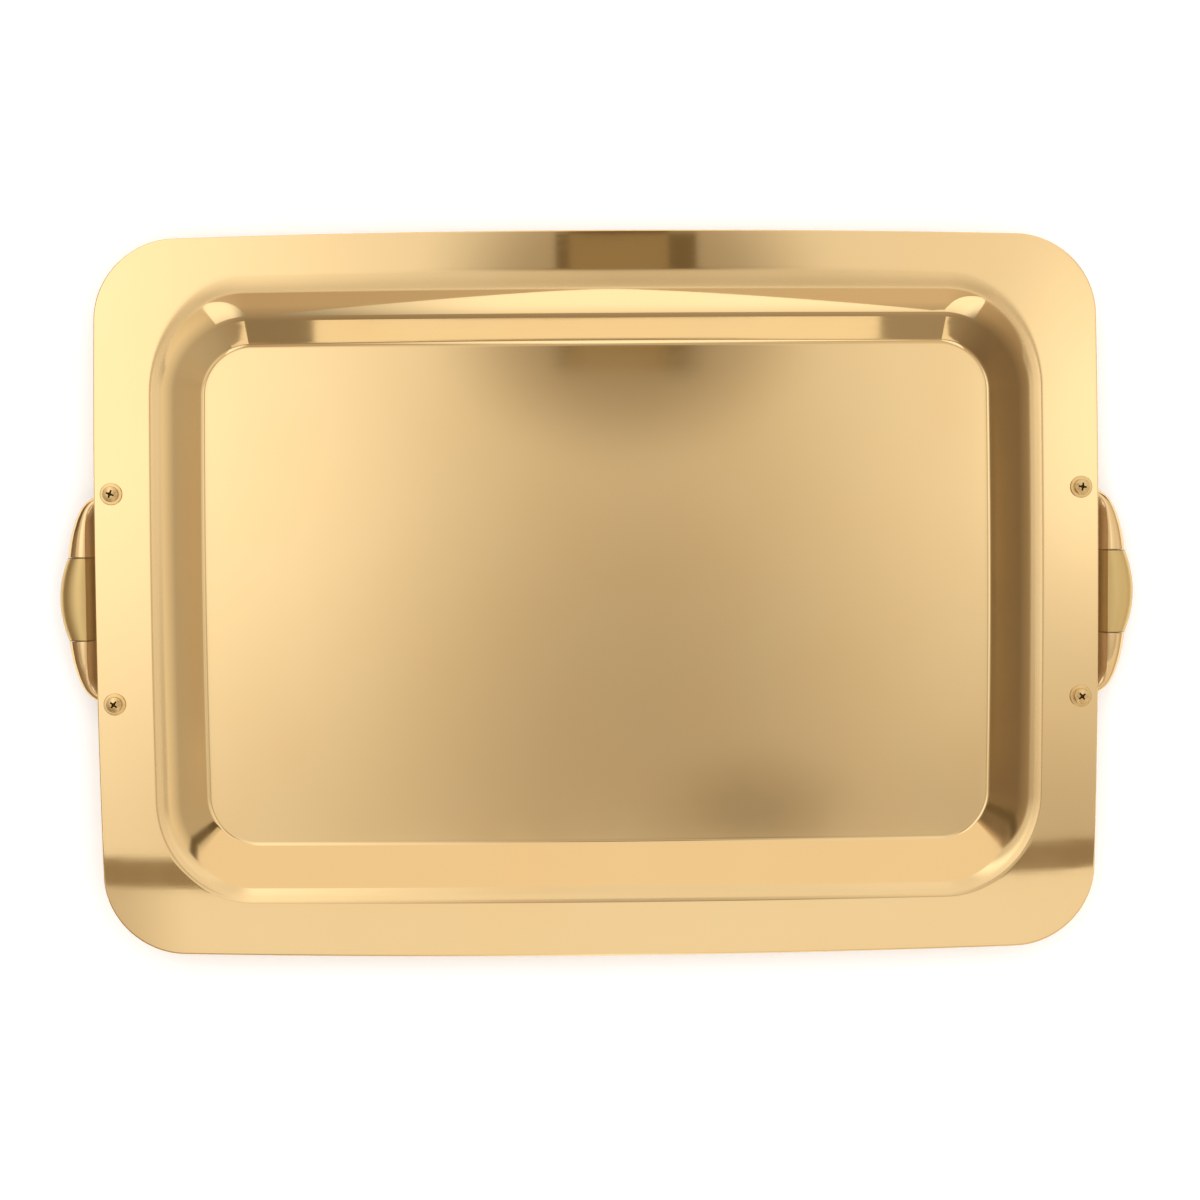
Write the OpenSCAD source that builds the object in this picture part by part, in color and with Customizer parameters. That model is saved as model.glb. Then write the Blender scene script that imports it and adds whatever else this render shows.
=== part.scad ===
// Serving tray: a pressed sheet-metal pan with a wide flange, and a fixed handle bolted under each short side.
// Each handle is two cast arms and a bulged grip, held in line by a tie rod. Screws with washers hold the arms.
// +X runs along the long sides to the right handle, +Y to the rear, +Z up.
// The origin is on the surface that the tray stands on, under the middle of the pan.

/* [Pan] */
// Length of the rim along X, at its widest
rim_length = 459.2; // [450:0.2:520]
// Width of the rim along Y, at its widest
rim_width = 332.4; // [300:0.2:400]
// How far the short sides bow out past the corners
short_side_bow = 2.5; // [0:0.1:5]
// How far the long sides bow out past the corners
long_side_bow = 3.7; // [0:0.1:6]
// Radius of the rim's corners
rim_corner_r = 36; // [25:0.5:45]
// Length of the flat floor along X
floor_length = 364; // [300:0.5:370]
// Width of the flat floor along Y
floor_width = 231; // [180:0.5:250]
// Radius of the floor's corners
floor_corner_r = 21; // [15:0.5:30]
// Depth from the flange down to the floor
well_depth = 19; // [18:0.5:24]
// Thickness of the sheet
sheet_t = 1; // [0.8:0.1:1.2]
// Radius of the shoulder between the flange and the wall
shoulder_r = 20; // [12:0.1:22]
// Radius of the fillet between the wall and the floor
fillet_r = 3; // [2:0.1:4]
// Slope of the wall from level, in degrees
wall_slope = 50; // [46:1:72]

/* [Handles] */
// Distance between the two screws of a handle
screw_pitch = 96; // [90:1:104]
// Distance from the middle of the rim's short side in to the screws
screw_inset = 8.2; // [7.5:0.1:10]
// Length of the grip between its two seams
grip_length = 38; // [34:0.5:44]
// How far the middle of the grip reaches out past the rim
grip_reach = 17.2; // [16:0.1:20]
// How much further out the grip reaches at its middle than at its seams
grip_bulge = 3.9; // [2:0.1:5]
// Height of the grip's section
grip_height = 11; // [10:0.5:12]
// Clearance between the rim and the grip's flat inner face
grip_clearance = 1.2; // [0.8:0.1:2]
// Distance of the arms' centre line out past the rim
arm_reach = 7; // [6.5:0.1:8]
// Radius of an arm at the seam
seam_r = 5.4; // [5:0.1:5.5]
// Radius of an arm at its bend and neck
neck_r = 3.6; // [3.2:0.1:4]
// Centre line radius of an arm's bend
bend_r = 8; // [6:0.5:9]
// How much nearer the middle of the handle an arm's neck is than its screw
neck_offset = 2; // [1:0.1:2.2]
// Radius of the boss that takes the screw
boss_r = 6; // [5.9:0.1:6.5]

/* [Fasteners] */
// Radius of the screw's shank
shank_r = 1.95; // [1.9:0.01:1.96]
// Radius of the screw's pan head
head_r = 3.55; // [3.3:0.05:4]
// Height of the screw's pan head
head_h = 2.4; // [2:0.1:2.8]
// Outer radius of the washer
washer_r = 5.05; // [4.5:0.05:5.5]
// Thickness of the washer
washer_t = 0.8; // [0.6:0.1:1]
// Radius of the tie rod inside the grip
rod_r = 1.95; // [1.5:0.01:1.96]

/* [Hidden] */
SIDES = ["left", "right"];
ENDS = ["front", "rear"];

polished = "#e0bd7c";
satin = "#cdb47a";
steps = 8;             // facets along a round stretch of an outline
lap = 2;               // how far a wall piece runs into the flat piece it joins
clear_r = 2.15;        // clearance hole for the screw, in the sheet and the washer
thread_r = 2;          // screw hole in a boss, and the tie rod's bores
thread_depth = 6;
rod_engagement = 10;
end_gap = 0.2;         // air past the end of a tie rod
head_edge_h = 0.9;     // height of a screw head's straight edge
recess_l = 4.2;        // cross recess: length, width and depth
recess_w = 0.9;
recess_d = 1.3;
past = 1;              // how far a cutting shape runs past the face it opens

flange_top = sheet_t + well_depth;
flange_under = flange_top - sheet_t;
corner_x = floor_length / 2 - floor_corner_r;
corner_y = floor_width / 2 - floor_corner_r;
wall_rise = well_depth - (shoulder_r + fillet_r) * (1 - cos(wall_slope));
wall_run = wall_rise / tan(wall_slope);
// Distance of the flange's inner edge from the axis of the floor's corner
flange_r = floor_corner_r + (shoulder_r + fillet_r) * sin(wall_slope) + wall_run;

// Corners of the flange's opening and of the floor plate, half way along the wall's laps
opening_r = flange_r + lap / 2;
plate_r = floor_corner_r - lap / 2;

screw_x = rim_length / 2 - screw_inset;
screw_y = screw_pitch / 2;
bar_x = rim_length / 2 + arm_reach;
bar_z = 14.2;
grip_outer_x = rim_length / 2 + grip_reach;
grip_inner_x = rim_length / 2 + grip_clearance;
grip_half = grip_length / 2;
grip_half_h = grip_height / 2;
bulge_r = (grip_half * grip_half + grip_bulge * grip_bulge) / (2 * grip_bulge);
neck_y = screw_y - neck_offset;
bend_y = neck_y - bend_r;
boss_bottom = 10.5;
thread_bottom = flange_under - thread_depth;
rod_half = grip_half + rod_engagement;
washer_top = flange_top + washer_t;

// Points on an arc about (x, y), from angle a to angle b
function arc(x, y, r, a, b) =
    [for (i = [0 : steps]) let (t = a + (b - a) * i / steps) [x + r * cos(t), y + r * sin(t)]];

// Outline of a rectangle with round corners, and points along its sides that a bow can move
function rounded_outline(hx, hy, r) = concat(
    [for (i = [-steps + 1 : steps - 1]) [hx, (hy - r) * i / steps]],
    arc(hx - r, hy - r, r, 0, 90),
    [for (i = [-steps + 1 : steps - 1]) [-(hx - r) * i / steps, hy]],
    arc(r - hx, hy - r, r, 90, 180),
    [for (i = [-steps + 1 : steps - 1]) [-hx, -(hy - r) * i / steps]],
    arc(r - hx, r - hy, r, 180, 270),
    [for (i = [-steps + 1 : steps - 1]) [(hx - r) * i / steps, -hy]],
    arc(hx - r, r - hy, r, 270, 360)
);

// The same outline with each side bowed: a point moves in with the square of its distance along the side
function bowed(points, hx, hy, bow_x, bow_y) = [
    for (p = points) [
        p[0] * (1 - bow_x / hx * pow(p[1] / hy, 2)),
        p[1] * (1 - bow_y / hy * pow(p[0] / hx, 2))
    ]
];

// Section of the wall with its fillet and shoulder, where x is the distance from the corner's axis
wall_section = concat(
    [[floor_corner_r - lap, sheet_t]],
    arc(floor_corner_r, sheet_t + fillet_r, fillet_r, -90, wall_slope - 90),
    arc(flange_r, flange_top - shoulder_r, shoulder_r, wall_slope + 90, 90),
    [[flange_r + lap, flange_top], [flange_r + lap, flange_under]],
    arc(flange_r, flange_top - shoulder_r, shoulder_r - sheet_t, 90, wall_slope + 90),
    arc(floor_corner_r, sheet_t + fillet_r, fillet_r + sheet_t, wall_slope - 90, -90),
    [[floor_corner_r - lap, 0]]
);

module rounded_plate(hx, hy, r, h) {
    translate([-hx, r - hy, 0]) cube([2 * hx, 2 * (hy - r), h]);
    translate([r - hx, -hy, 0]) cube([2 * (hx - r), 2 * hy, h]);
    for (x = [r - hx, hx - r]) {
        for (y = [r - hy, hy - r]) {
            translate([x, y, 0]) cylinder(r = r, h = h, $fn = 96);
        }
    }
}

module wall_side(length) {
    rotate([90, 0, 0]) linear_extrude(height = length, center = true) polygon(wall_section);
}

module wall_corner() {
    rotate_extrude(angle = 90, $fn = 96) polygon(wall_section);
}

module wall() {
    for (turn = [0, 180]) {
        rotate([0, 0, turn]) {
            translate([corner_x, 0, 0]) wall_side(2 * corner_y);
            translate([0, corner_y, 0]) rotate([0, 0, 90]) wall_side(2 * corner_x);
            translate([corner_x, corner_y, 0]) wall_corner();
            translate([-corner_x, corner_y, 0]) rotate([0, 0, 90]) wall_corner();
        }
    }
}

module flange() {
    difference() {
        translate([0, 0, flange_under]) {
            linear_extrude(height = sheet_t) {
                polygon(bowed(
                    rounded_outline(rim_length / 2, rim_width / 2, rim_corner_r),
                    rim_length / 2, rim_width / 2, short_side_bow, long_side_bow
                ));
            }
        }
        translate([0, 0, flange_under - past]) {
            rounded_plate(corner_x + opening_r, corner_y + opening_r, opening_r, sheet_t + 2 * past);
        }
        for (x = [-screw_x, screw_x]) {
            for (y = [-screw_y, screw_y]) {
                translate([x, y, flange_under - past]) cylinder(r = clear_r, h = sheet_t + 2 * past, $fn = 48);
            }
        }
    }
}

module pan() {
    color(polished) {
        rounded_plate(corner_x + plate_r, corner_y + plate_r, plate_r, sheet_t);
        wall();
        flange();
    }
}

// Puts a piece that is made for the right side's rear end at another side and end
module place(side, end = "rear") {
    mirror([side == "left" ? 1 : 0, 0, 0]) mirror([0, end == "front" ? 1 : 0, 0]) children();
}

module arm() {
    color(polished) {
        difference() {
            union() {
                translate([bar_x, grip_half, bar_z]) {
                    rotate([-90, 0, 0]) cylinder(r1 = seam_r, r2 = neck_r, h = bend_y - grip_half, $fn = 64);
                }
                translate([bar_x - bend_r, bend_y, bar_z]) {
                    rotate_extrude(angle = 90, $fn = 96) translate([bend_r, 0]) circle(r = neck_r, $fn = 64);
                }
                translate([screw_x, neck_y, bar_z]) {
                    rotate([0, 90, 0]) cylinder(r = neck_r, h = bar_x - bend_r - screw_x, $fn = 64);
                }
                translate([screw_x, screw_y, boss_bottom]) {
                    cylinder(r = boss_r, h = flange_under - boss_bottom, $fn = 64);
                }
            }
            translate([screw_x, screw_y, thread_bottom]) cylinder(r = thread_r, h = thread_depth + past, $fn = 48);
            translate([bar_x, grip_half - past, bar_z]) {
                rotate([-90, 0, 0]) cylinder(r = thread_r, h = past + rod_engagement + end_gap, $fn = 48);
            }
        }
    }
}

// Bulged outside, flat inside: its section is turned about a far axis and cut square
module grip() {
    inner_r = bulge_r - grip_reach + grip_clearance - lap;
    section = concat(
        [[inner_r, -grip_half_h]],
        arc(bulge_r - grip_half_h, 0, grip_half_h, -90, 90),
        [[inner_r, grip_half_h]]
    );
    color(satin) {
        difference() {
            intersection() {
                translate([grip_outer_x - bulge_r, 0, bar_z]) rotate_extrude($fn = 180) polygon(section);
                translate([grip_inner_x, -grip_half, bar_z - grip_height]) {
                    cube([2 * grip_reach, grip_length, 2 * grip_height]);
                }
            }
            translate([bar_x, grip_half + past, bar_z]) {
                rotate([90, 0, 0]) cylinder(r = thread_r, h = grip_length + 2 * past, $fn = 48);
            }
        }
    }
}

module tie_rod() {
    color("silver") {
        translate([bar_x, rod_half, bar_z]) rotate([90, 0, 0]) cylinder(r = rod_r, h = 2 * rod_half, $fn = 48);
    }
}

module washer() {
    color(polished) {
        translate([screw_x, screw_y, flange_top]) {
            difference() {
                cylinder(r = washer_r, h = washer_t, $fn = 64);
                translate([0, 0, -past]) cylinder(r = clear_r, h = washer_t + 2 * past, $fn = 48);
            }
        }
    }
}

module screw() {
    dome = [
        for (i = [0 : steps]) let (t = 90 * i / steps)
            [head_r * cos(t), head_edge_h + (head_h - head_edge_h) * sin(t)]
    ];
    color(polished) {
        translate([screw_x, screw_y, washer_top]) {
            difference() {
                rotate_extrude($fn = 64) polygon(concat([[0, 0], [head_r, 0]], dome));
                for (turn = [0, 90]) {
                    rotate([0, 0, 35 + turn]) {
                        translate([-recess_l / 2, -recess_w / 2, head_h - recess_d]) {
                            cube([recess_l, recess_w, recess_d + past]);
                        }
                    }
                }
            }
        }
        translate([screw_x, screw_y, thread_bottom + end_gap]) {
            cylinder(r = shank_r, h = washer_top - thread_bottom - end_gap, $fn = 48);
        }
    }
}

pan();
for (side = SIDES) {
    place(side) grip();
    place(side) tie_rod();
    for (end = ENDS) {
        place(side, end) arm();
        place(side, end) screw();
        place(side, end) washer();
    }
}
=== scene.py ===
"""Serving tray with two bolted handles: the visible surfaces, their finishes and the stage.

The file is laid out as an add-on, with one operator for each kind of piece and one for the stage.
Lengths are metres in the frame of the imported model: origin under the middle of the tray, +X along
its long side, +Z up. "Left" is -X and "rear" is +Y.
"""

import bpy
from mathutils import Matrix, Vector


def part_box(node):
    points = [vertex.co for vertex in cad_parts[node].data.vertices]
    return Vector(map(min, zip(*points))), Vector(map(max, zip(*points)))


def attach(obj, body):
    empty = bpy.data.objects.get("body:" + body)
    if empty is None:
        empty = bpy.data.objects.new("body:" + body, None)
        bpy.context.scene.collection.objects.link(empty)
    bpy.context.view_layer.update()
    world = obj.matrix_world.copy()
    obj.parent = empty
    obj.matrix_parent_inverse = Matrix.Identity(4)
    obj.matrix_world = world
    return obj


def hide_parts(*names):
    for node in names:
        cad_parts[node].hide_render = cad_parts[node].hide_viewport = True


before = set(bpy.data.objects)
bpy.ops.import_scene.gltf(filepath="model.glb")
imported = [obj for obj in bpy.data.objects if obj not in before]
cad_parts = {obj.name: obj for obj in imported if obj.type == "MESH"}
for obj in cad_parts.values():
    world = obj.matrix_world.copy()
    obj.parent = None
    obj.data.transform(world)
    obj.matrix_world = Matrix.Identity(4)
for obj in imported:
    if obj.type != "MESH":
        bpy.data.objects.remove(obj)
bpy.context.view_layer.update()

import math

import bpy
import numpy as np
from bpy.props import FloatProperty, FloatVectorProperty, PointerProperty
from bpy.types import Operator, Panel, PropertyGroup
from mathutils import Matrix, Vector

bl_info = {
    "name": "Bolted Handle Serving Tray",
    "version": (1, 0, 0),
    "blender": (4, 5, 0),
    "location": "3D View > Sidebar > Tray",
    "description": "Makes a pressed serving tray with two bolted handles",
    "category": "Add Mesh",
}

MM = 0.001
BODY = "root"
ENDS = {"left": -1, "right": 1}
SIDES = {"front": -1, "rear": 1}
SHARP_ANGLE = math.radians(38)


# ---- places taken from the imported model


PAN_LOW, PAN_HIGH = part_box("pan")
RIM_X, RIM_Y = (PAN_HIGH.x - PAN_LOW.x) / 2, (PAN_HIGH.y - PAN_LOW.y) / 2
FLANGE_TOP = PAN_HIGH.z
SCREW_LOW, SCREW_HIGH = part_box("right_rear_screw")
SCREW = (SCREW_LOW + SCREW_HIGH) / 2
HEAD_TOP, SCREW_TIP = SCREW_HIGH.z, SCREW_LOW.z
WASHER_LOW, WASHER_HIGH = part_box("right_rear_washer")
BOSS_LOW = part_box("right_rear_arm")[0].z
GRIP_LOW, GRIP_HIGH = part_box("right_grip")
GRIP_MIDDLE_Z = (GRIP_LOW.z + GRIP_HIGH.z) / 2
SEAM_Y = GRIP_HIGH.y


# ---- settings


def length(name, description, default):
    return FloatProperty(name=name, description=description, default=default, unit="LENGTH", precision=5)


def colour(name, description, hex_value):
    return FloatVectorProperty(
        name=name, description=description, default=linear(hex_value),
        subtype="COLOR", size=4, min=0, max=1,
    )


def linear(hex_value):
    """An sRGB hex colour as linear red, green, blue and alpha."""
    srgb = np.array([int(hex_value[i : i + 2], 16) / 255 for i in (1, 3, 5)])
    value = np.where(srgb <= 0.04045, srgb / 12.92, ((srgb + 0.055) / 1.055) ** 2.4)
    return (*value.tolist(), 1.0)


class TraySheetSettings(PropertyGroup):
    floor_x: length("Floor half length", "From the middle to the end edge of the flat floor", 182.1 * MM)
    floor_y: length("Floor half width", "From the middle to the side edge of the flat floor", 115.6 * MM)
    floor_corner: length("Floor corner", "Corner radius of the flat floor", 21 * MM)
    rim_corner: length("Rim corner", "Corner radius of the outer edge", 36 * MM)
    sheet: length("Sheet thickness", "Thickness of the pressed sheet", 1 * MM)
    end_bow: length("End bow", "How far the short sides bow outwards", 2.45 * MM)
    side_bow: length("Side bow", "How far the long sides bow outwards", 3.73 * MM)
    colour: colour("Sheet colour", "Colour of the polished sheet", "#F6D49B")


class TrayHandleSettings(PropertyGroup):
    crease: length("Crease", "How far the crease of the inner face stands out from the rim", 4.4 * MM)
    seam_gap: length("Seam gap", "Gap between a grip and its arm", 0.08 * MM)
    arm_colour: colour("Arm colour", "Colour of the polished arms", "#F2CF98")
    grip_colour: colour("Grip colour", "Colour of the satin grips", "#E2C384")


class TrayFastenerSettings(PropertyGroup):
    recess_width: length("Recess width", "Width of one arm of the cross recess", 0.85 * MM)
    recess_depth: length("Recess depth", "Depth of the cross recess", 1.3 * MM)
    colour: colour("Fastener colour", "Colour of the plated screws and washers", "#E9C88E")


class TrayStageSettings(PropertyGroup):
    ceiling: length("Light height", "Height of the large soft light above the table", 1.4)
    light: FloatProperty(
        name="Light level", description="Brightness of the large soft light", default=1.0, min=0
    )


# ---- surfaces


def quads(rows, columns, closed=True):
    """Corner numbers of the faces between neighbouring rows and columns of a grid of points, where
    the last column meets the first one again if closed."""
    row = np.arange(rows - 1)[:, None]
    column = np.arange(columns if closed else columns - 1)[None, :]
    following = (column + 1) % columns
    corners = (row * columns + column, row * columns + following)
    corners += ((row + 1) * columns + following, (row + 1) * columns + column)
    return np.stack(corners, -1).reshape(-1, 4)


def linked(name, data):
    """An object in the scene for a mesh, a light or a camera."""
    made = bpy.data.objects.new(name, data)
    bpy.context.scene.collection.objects.link(made)
    return made


def smooth_object(name, points, faces):
    """A mesh object from points and groups of faces, smooth but for its sharp edges."""
    mesh = bpy.data.meshes.new(name)
    mesh.from_pydata(points.tolist(), [], [corners for group in faces for corners in group.tolist()])
    mesh.shade_smooth()
    mesh.set_sharp_from_angle(angle=SHARP_ANGLE)
    mesh.validate()
    return linked(name, mesh)


def closed_shell(name, grid, turned=False):
    """A closed object from a grid of points whose columns run round in a ring: quads between the rows,
    and a fan from the mean point of the first and of the last row. Turned says that the rings run
    the other way round, so each face is reversed."""
    rows, columns, _ = grid.shape
    points = grid.reshape(-1, 3)
    caps = np.array([grid[0].mean(0), grid[-1].mean(0)])
    ring = np.arange(columns)
    following = (ring + 1) % columns
    last = (rows - 1) * columns
    first_fan = np.stack([np.full(columns, rows * columns), following, ring], -1)
    last_fan = np.stack([np.full(columns, rows * columns + 1), last + ring, last + following], -1)
    faces = [quads(rows, columns), first_fan, last_fan]
    if turned:
        faces = [corners[:, ::-1] for corners in faces]
    return smooth_object(name, np.concatenate([points, caps]), faces)


def through(knots, steps):
    """A smooth curve through rows of knots: each span is the cubic whose end slopes are half the
    difference of the neighbouring knots (Catmull-Rom), sampled at equal steps."""
    knots = np.asarray(knots, float)
    padded = np.concatenate([2 * knots[:1] - knots[1:2], knots, 2 * knots[-1:] - knots[-2:-1]])
    t = np.linspace(0, len(knots) - 1, steps)
    span = np.minimum(t.astype(int), len(knots) - 2)
    u = (t - span)[:, None]
    a, b, c, d = (padded[span + i] for i in range(4))
    return b + 0.5 * u * (c - a + u * (2 * a - 5 * b + 4 * c - d + u * (3 * (b - c) + d - a)))


def lathe(name, profile, centre, segments=72):
    """A profile of (radius, height) rows turned about the upright line through a centre."""
    profile = np.asarray(profile, float)
    angle = np.linspace(0, 2 * math.pi, segments, endpoint=False)
    x = centre[0] + profile[:, :1] * np.cos(angle)
    y = centre[1] + profile[:, :1] * np.sin(angle)
    z = np.repeat(profile[:, 1:2], segments, 1)
    return closed_shell(name, np.stack([x, y, z], -1))


def combined(target, tools, operation):
    """Cuts the tools out of the target, or adds them to it, and removes them."""
    for tool in tools:
        cut = target.modifiers.new("cut", "BOOLEAN")
        cut.operation, cut.solver, cut.object = operation, "EXACT", tool
    bpy.context.view_layer.update()
    evaluated = target.evaluated_get(bpy.context.evaluated_depsgraph_get())
    mesh = bpy.data.meshes.new_from_object(evaluated)
    target.modifiers.clear()
    target.data = mesh
    mesh.set_sharp_from_angle(angle=SHARP_ANGLE)
    for tool in tools:
        bpy.data.objects.remove(tool)
    return target


def place(made, material, node):
    """Finishes a piece: its material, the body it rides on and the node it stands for."""
    made.data.materials.clear()
    made.data.materials.append(material)
    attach(made, BODY)
    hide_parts(node)


# ---- the pressed sheet

# Sections of the bend from floor to flange: fillet radius, wall slope, shoulder radius, the slope at
# which the shoulder eases off, and the radius of that easing. The ends of the tray are steeper, and
# the rear side runs out into the flange more gently than the front one.
END_SECTION = (3.0 * MM, math.radians(49), 24 * MM, math.radians(22), 4 * MM)
FRONT_SECTION = (3.4 * MM, math.radians(45), 34 * MM, math.radians(22), 6 * MM)
REAR_SECTION = (3.4 * MM, math.radians(45), 28 * MM, math.radians(13), 40 * MM)
END_BEND = 22.5 * MM
FLANGE_RISE = math.radians(0.25)
SCREW_INSET = RIM_X - SCREW.x
RIM_TRIM = 0.02 * MM


def bend_section(fillet, slope, shoulder, easing, ease_radius, rise):
    """Offsets and heights from the floor edge to the flange: a fillet arc up to the wall slope, the
    straight wall, the shoulder arc back down to the easing slope, and a wide arc down to the slope
    of the flange."""

    def arc(radius, start, stop, steps):
        turn = np.linspace(start, stop, steps)
        sign = 1 if stop > start else -1
        return sign * radius * np.stack([np.sin(turn) - math.sin(start), math.cos(start) - np.cos(turn)])

    foot = arc(fillet, 0, slope, 12)
    over = arc(shoulder, slope, easing, 27)
    ease = arc(ease_radius, easing, FLANGE_RISE, 13)
    wall_rise = rise - foot[1, -1] - over[1, -1] - ease[1, -1]
    wall = np.array([[wall_rise / math.tan(slope)], [wall_rise]]) * np.linspace(0, 1, 6)
    whole = foot
    for part in (wall, over, ease):
        whole = np.concatenate([whole, whole[:, -1:] + part[:, 1:]], 1)
    return whole


def round_the_rectangle(per_end, per_side, per_corner):
    """One turn round a rectangle with round corners: where the corner circle's middle lies, as a
    fraction of its place in the corner, and the outward angle there."""
    side = np.linspace(-1, 1, per_end, endpoint=False)
    top = np.linspace(1, -1, per_side, endpoint=False)
    arc = np.linspace(0, math.pi / 2, per_corner, endpoint=False)
    one = np.ones(per_corner)
    x = [np.ones(per_end), one, top, -one, -np.ones(per_end), -one, -top, one]
    y = [side, one, np.ones(per_side), one, -side, -one, -np.ones(per_side), -one]
    angle = [side * 0, arc, top * 0 + math.pi / 2, arc + math.pi / 2]
    angle += [side * 0 + math.pi, arc + math.pi, top * 0 + 1.5 * math.pi, arc + 1.5 * math.pi]
    return np.concatenate(x), np.concatenate(y), np.concatenate(angle)


def sheet_surface(sizes):
    """The sheet as a grid. A column is one place round the rounded rectangle; a row is one step
    from the middle of the floor, up the bend, out over the flange, round the rim edge and back
    under. On the bend the offset from the corner circle's middle is an ellipse: the end section's
    along X and the side section's along Y. The flange runs straight from the bend to the rim."""
    across, along, angle = round_the_rectangle(36, 56, 34)
    cos, sin = np.cos(angle), np.sin(angle)
    share = cos**2

    rim_z = FLANGE_TOP + SCREW_INSET * math.tan(FLANGE_RISE)
    flange_width = RIM_X - sizes.floor_x - END_BEND
    rise = rim_z - flange_width * math.tan(FLANGE_RISE) - sizes.sheet
    end = bend_section(*END_SECTION, rise)
    front = bend_section(*FRONT_SECTION, rise)
    rear = bend_section(*REAR_SECTION, rise)
    to_rear = sin > 0

    def outline(half_x, half_y, corner, bow_x, bow_y, offset_x, offset_y):
        centre_x, centre_y = half_x - corner, half_y - corner
        x = across * centre_x + cos * (corner + offset_x)
        y = along * centre_y + sin * (corner + offset_y)
        wide, deep = half_x + offset_x, half_y + offset_y
        return x * (1 - bow_x / wide * (y / deep) ** 2), y * (1 - bow_y / deep * (x / wide) ** 2)

    rows = []
    inward = np.array([1.0, 0.8, 0.6, 0.42, 0.27, 0.15, 0.07, 0.025, 0.006])
    floor = sizes.floor_x, sizes.floor_y, sizes.floor_corner
    edge_x, edge_y = outline(*floor, 0.5 * sizes.end_bow, 0.2 * sizes.side_bow, 0, 0)
    for step in inward:
        rows.append(np.stack([edge_x * (1 - step), edge_y * (1 - step), edge_x * 0 + sizes.sheet], -1))
    grown = np.linspace(0, 1, end.shape[1])
    for (out_x, up_x), at_front, at_rear, part in zip(end.T, front.T, rear.T, grown):
        out_y, up_y = (np.where(to_rear, there, here) for here, there in zip(at_front, at_rear))
        bows = (0.5 + 0.2 * part) * sizes.end_bow, (0.2 + 0.3 * part) * sizes.side_bow
        x, y = outline(*floor, *bows, out_x, out_y)
        rows.append(np.stack([x, y, sizes.sheet + up_x * share + up_y * (1 - share)], -1))
    shoulder = rows[-1]
    half = sizes.sheet / 2
    inset = half + RIM_TRIM
    x, y = outline(RIM_X, RIM_Y, sizes.rim_corner, sizes.end_bow, sizes.side_bow, -inset, -inset)
    rim = np.stack([x, y, x * 0 + rim_z], -1)
    for part in (0.02, 0.07, 0.15, 0.27, 0.4, 0.55, 0.7, 0.84, 0.95, 0.99, 1.0):
        rows.append(shoulder * (1 - part) + rim * part)

    upper = np.array(rows)
    round_way = np.roll(upper, -1, 1) - np.roll(upper, 1, 1)
    normal = np.cross(round_way, np.gradient(upper, axis=0))
    normal /= np.maximum(np.linalg.norm(normal, axis=-1, keepdims=True), 1e-12)
    normal *= np.where(normal[..., 2:] < 0, -1, 1)
    normal[:10] = (0, 0, 1)
    lower = upper - normal * sizes.sheet
    lower[..., 2] = np.maximum(lower[..., 2], 0)
    out = np.stack([cos, sin, cos * 0], -1)
    turn = np.linspace(math.pi / 2, -math.pi / 2, 10)[1:-1, None, None]
    edge = (upper[-1] + lower[-1]) / 2 + half * (np.cos(turn) * out + np.sin(turn) * normal[-1])
    return np.concatenate([upper[1:], edge, lower[::-1][:-1]])


def make_sheet(sizes, material):
    """The sheet with a clearance hole under each screw."""
    sheet = closed_shell("pan_sheet", sheet_surface(sizes))
    hole, reach = 2.25 * MM, 5 * MM
    profile = [(hole, FLANGE_TOP - reach), (hole, FLANGE_TOP + reach)]
    drills = []
    for end in ENDS.values():
        for side in SIDES.values():
            drills.append(lathe("drill", profile, (end * SCREW.x, side * SCREW.y), 32))
    combined(sheet, drills, "DIFFERENCE")
    place(sheet, material, "pan")


# ---- handles


def half_round(middle_n, half_n, middle_z, half_z, crease_n, count=44):
    """Rows of (outward, up) points: an ellipse cut by one flat inner face. The arc starts at the
    crease on top, runs over the outside to the lower inner corner, and the flat closes it."""
    start = np.arccos(np.clip((crease_n - middle_n) / half_n, -0.95, 0.95))
    stop = np.arccos(-0.8)
    arc = np.linspace(0, 1, count)[None, :]
    angle = start[:, None] * (1 - arc) - stop * arc
    arc_n = middle_n[:, None] + half_n[:, None] * np.cos(angle)
    arc_z = middle_z[:, None] + half_z[:, None] * np.sin(angle)
    back = np.linspace(0, 1, 10)[None, 1:-1]
    flat_n = arc_n[:, -1:] * (1 - back) + arc_n[:, :1] * back
    flat_z = arc_z[:, -1:] * (1 - back) + arc_z[:, :1] * back
    return np.concatenate([arc_n, flat_n], 1), np.concatenate([arc_z, flat_z], 1)


def eased_end(rows, at_start, at_end, depth=0.03):
    """How much each row shrinks so that an end is a little rounded: 1 along the piece, and depth
    less at the very end, on a quarter circle."""
    scale = np.ones(rows)
    quarter = 1 - np.sqrt(1 - np.linspace(1, 0, 4) ** 2)
    if at_start:
        scale[:4] -= depth * quarter
    if at_end:
        scale[-4:] -= depth * quarter[::-1]
    return scale


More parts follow.
